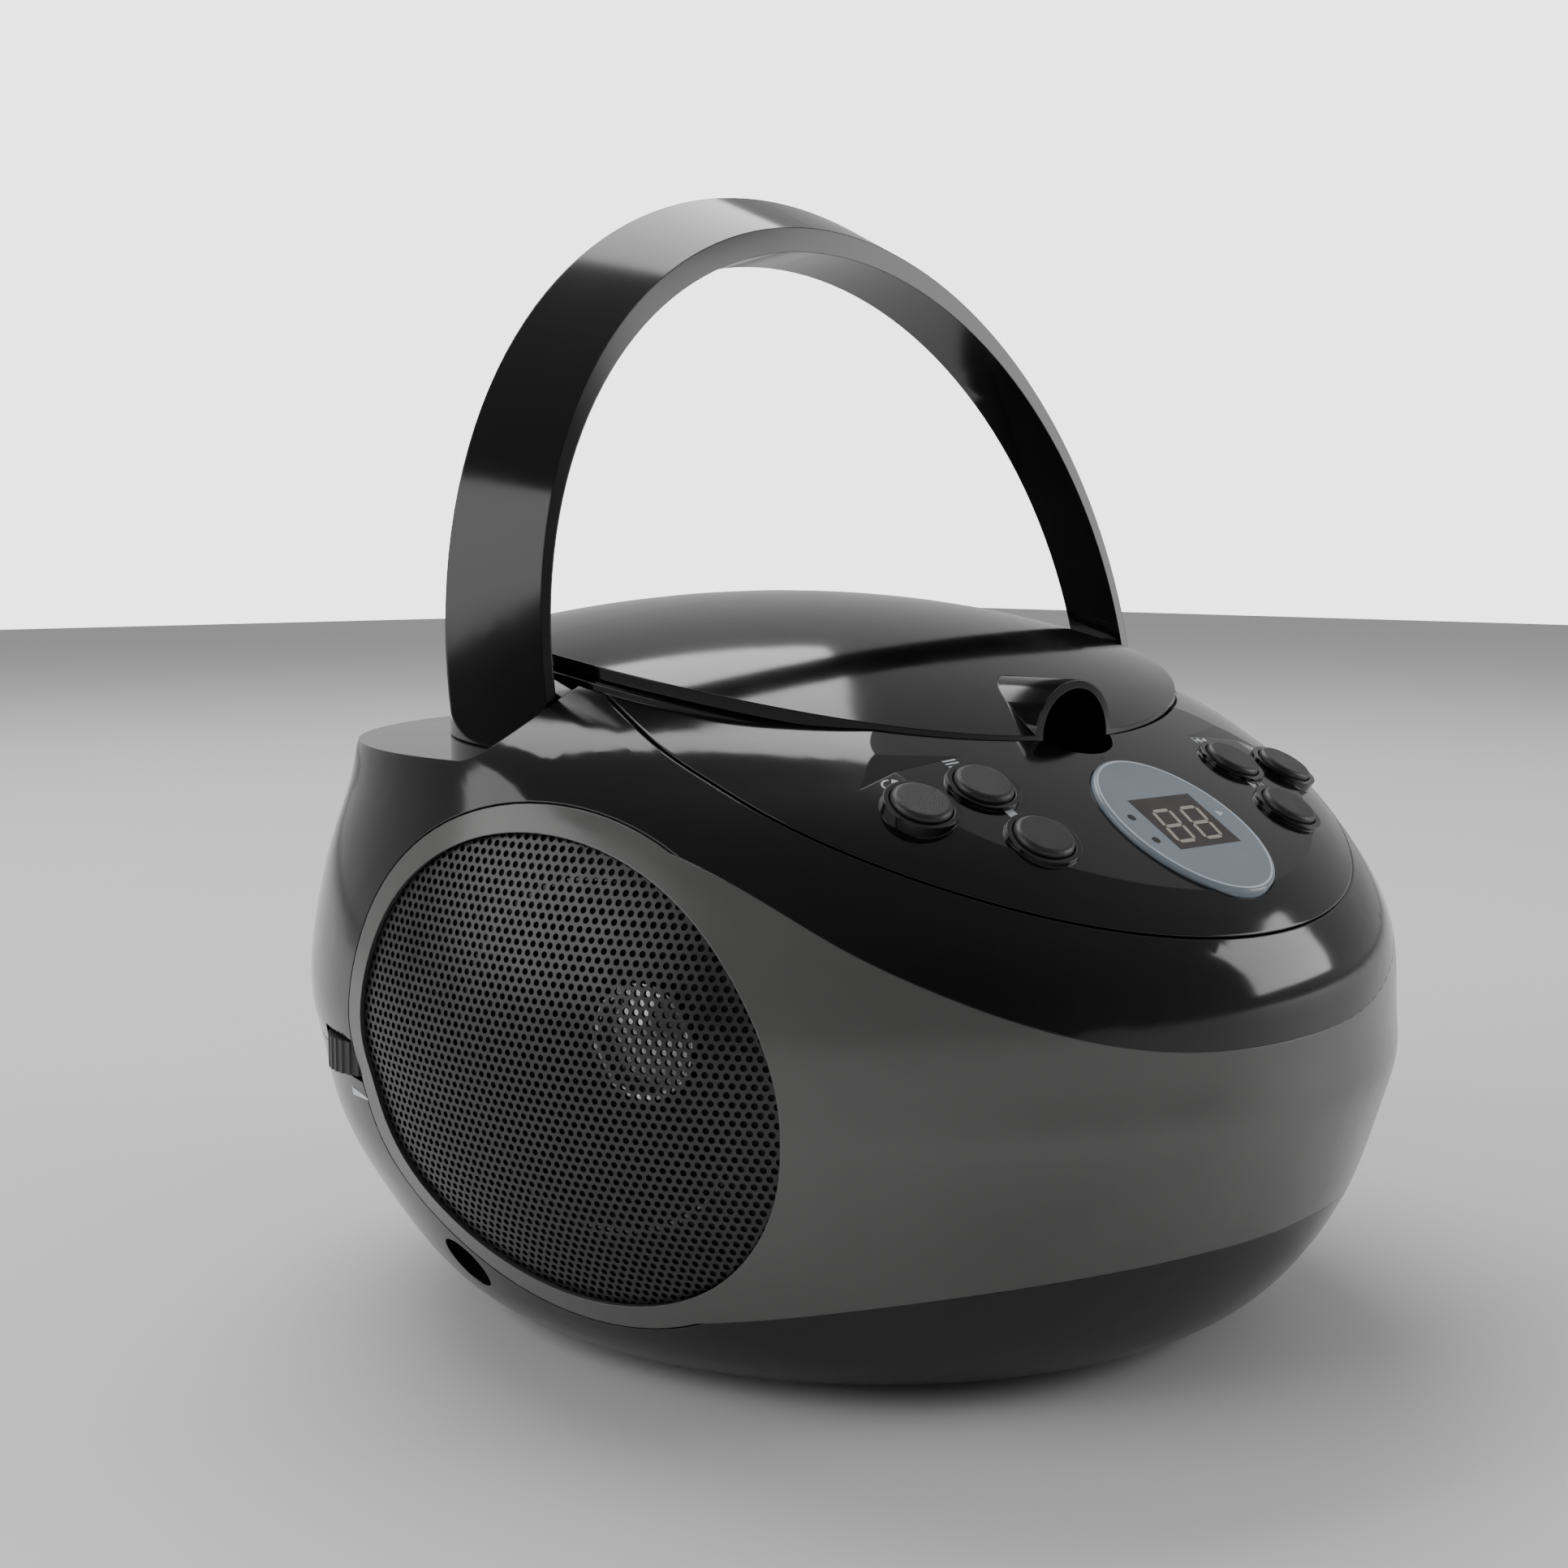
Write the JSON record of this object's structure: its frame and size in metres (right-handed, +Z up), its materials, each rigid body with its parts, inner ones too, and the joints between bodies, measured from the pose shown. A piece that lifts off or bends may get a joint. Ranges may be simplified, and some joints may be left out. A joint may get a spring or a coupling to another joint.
{
  "type": "boombox",
  "caption": "Compact rounded boombox with a top-loading disc lid, folding carrying handle, side loudspeakers with mesh grilles, sloping button panel and round-ended display.",
  "frame": {"origin": "on the surface it stands on, under the middle of its outline", "axes": "+X to the set's own right as seen from the front, +Y to its back, +Z up; the sloping panel faces -Y"},
  "size_m": [0.241, 0.2537, 0.2489],
  "materials": {
    "black_gloss": "gloss",
    "black_satin": "satin",
    "grey_mask": "satin",
    "grille_black": "satin",
    "button_black": "textured",
    "lens_blue": "gloss",
    "board_green": "satin",
    "mechanism_grey": "satin",
    "steel": "satin",
    "chrome": "polished",
    "aluminium": "satin",
    "copper_wire": "satin",
    "ferrite": "matte",
    "cone_paper": "matte",
    "rubber": "matte",
    "lens_glass": "polished",
    "cell_jacket": "gloss"
  },
  "bodies": {
    "case": {"lower_housing": "black_satin", "upper_housing": "black_gloss", "front_mask": "grey_mask", "top_panel": "black_gloss", "display_lens": "lens_blue", "display_module": "mechanism_grey", "control_board": "board_green", "tact_switches": "mechanism_grey", "cd_chassis": "mechanism_grey", "chassis_mounts": "rubber", "guide_rods": "chrome", "spindle_motor": "steel", "sled_motor": "steel", "main_board": "board_green", "board_parts": "mechanism_grey", "heat_sink": "aluminium", "transformer_core": "steel", "transformer_coil": "copper_wire", "ferrite_rod": "ferrite", "rod_coil": "copper_wire", "battery_box": "mechanism_grey", "battery_cells": "cell_jacket", "battery_contacts": "steel", "jack_socket": "button_black", "ac_inlet": "button_black", "function_switch": "steel", "rubber_feet": "rubber", "case_screws": "steel", "left_grille": "grille_black", "left_baffle": "black_satin", "left_basket": "steel", "left_magnet": "ferrite", "left_surround": "rubber", "right_grille": "grille_black", "right_baffle": "black_satin", "right_basket": "steel", "right_magnet": "ferrite", "right_surround": "rubber", "volume_control": "steel", "tuning_capacitor": "mechanism_grey"},
    "handle": {"handle": "black_gloss"},
    "lid": {"cd_lid": "black_gloss"},
    "turntable": {"turntable": "mechanism_grey"},
    "pickup": {"pickup_sled": "mechanism_grey", "pickup_lens": "lens_glass"},
    "lead_screw": {"lead_screw": "steel"},
    "volume_wheel": {"volume_wheel": "button_black"},
    "tuning_wheel": {"tuning_wheel": "button_black"},
    "function_knob": {"function_knob": "button_black"},
    "battery_door": {"battery_door": "black_satin"},
    "left_cone": {"left_cone": "cone_paper", "left_dust_cap": "aluminium"},
    "right_cone": {"right_cone": "cone_paper", "right_dust_cap": "aluminium"},
    "repeat_button": {"repeat_button": "button_black"},
    "program_button": {"program_button": "button_black"},
    "stop_button": {"stop_button": "button_black"},
    "play_button": {"play_button": "button_black"},
    "rewind_button": {"rewind_button": "button_black"},
    "forward_button": {"forward_button": "button_black"}
  },
  "joints": [
    {"name": "handle_fold", "type": "hinge", "parent": "case", "child": "handle", "pos_m": [0, 0.0027, 0.1355], "axis": [-1, 0, 0], "range_deg": [0, 79]},
    {"name": "lid_open", "type": "hinge", "parent": "case", "child": "lid", "pos_m": [0, 0.063, 0.1465], "axis": [-1, 0, 0], "range_deg": [0, 22]},
    {"name": "repeat_button_press", "type": "slide", "parent": "case", "child": "repeat_button", "axis": [0.1235, 0.4763, -0.8706], "range_m": [0, 0.001], "stiffness_N_per_m": 300, "springref_m": -0.001},
    {"name": "program_button_press", "type": "slide", "parent": "case", "child": "program_button", "axis": [0.0852, 0.4766, -0.875], "range_m": [0, 0.001], "stiffness_N_per_m": 300, "springref_m": -0.001},
    {"name": "stop_button_press", "type": "slide", "parent": "case", "child": "stop_button", "axis": [0.0841, 0.5129, -0.8543], "range_m": [0, 0.001], "stiffness_N_per_m": 300, "springref_m": -0.001},
    {"name": "play_button_press", "type": "slide", "parent": "case", "child": "play_button", "axis": [-0.0841, 0.5129, -0.8543], "range_m": [0, 0.001], "stiffness_N_per_m": 300, "springref_m": -0.001},
    {"name": "rewind_button_press", "type": "slide", "parent": "case", "child": "rewind_button", "axis": [-0.0852, 0.4766, -0.875], "range_m": [0, 0.001], "stiffness_N_per_m": 300, "springref_m": -0.001},
    {"name": "forward_button_press", "type": "slide", "parent": "case", "child": "forward_button", "axis": [-0.1235, 0.4763, -0.8706], "range_m": [0, 0.001], "stiffness_N_per_m": 300, "springref_m": -0.001},
    {"name": "turntable_spin", "type": "hinge", "parent": "case", "child": "turntable", "pos_m": [0, -0.002, 0.119], "axis": [0, 0, 1], "continuous": true},
    {"name": "pickup_slide", "type": "slide", "parent": "case", "child": "pickup", "axis": [0, 1, 0], "range_m": [0, 0.032]},
    {"name": "lead_screw_spin", "type": "hinge", "parent": "case", "child": "lead_screw", "pos_m": [0.022, 0.03, 0.112], "axis": [0, 1, 0], "range_deg": [0, 1441]},
    {"name": "volume_turn", "type": "hinge", "parent": "case", "child": "volume_wheel", "pos_m": [-0.10393, 0.02785, 0.0614], "axis": [0, 0, 1], "range_deg": [-140, 140]},
    {"name": "tuning_turn", "type": "hinge", "parent": "case", "child": "tuning_wheel", "pos_m": [0.10393, 0.02785, 0.0614], "axis": [0, 0, 1], "range_deg": [-90, 90]},
    {"name": "function_slide", "type": "slide", "parent": "case", "child": "function_knob", "axis": [-0.9397, 0.342, 0], "range_m": [0, 0.013]},
    {"name": "battery_door_slide", "type": "slide", "parent": "case", "child": "battery_door", "axis": [0, 1, 0], "range_m": [0, 0.04]},
    {"name": "left_cone_move", "type": "slide", "parent": "case", "child": "left_cone", "axis": [-0.9397, -0.342, 0], "range_m": [-0.001, 0.001], "stiffness_N_per_m": 2000},
    {"name": "right_cone_move", "type": "slide", "parent": "case", "child": "right_cone", "axis": [0.9397, -0.342, 0], "range_m": [-0.001, 0.001], "stiffness_N_per_m": 2000}
  ],
  "couplings": [
    {"joint": "lead_screw_spin", "follows": "pickup_slide", "rad_per_m": 785.4}
  ]
}
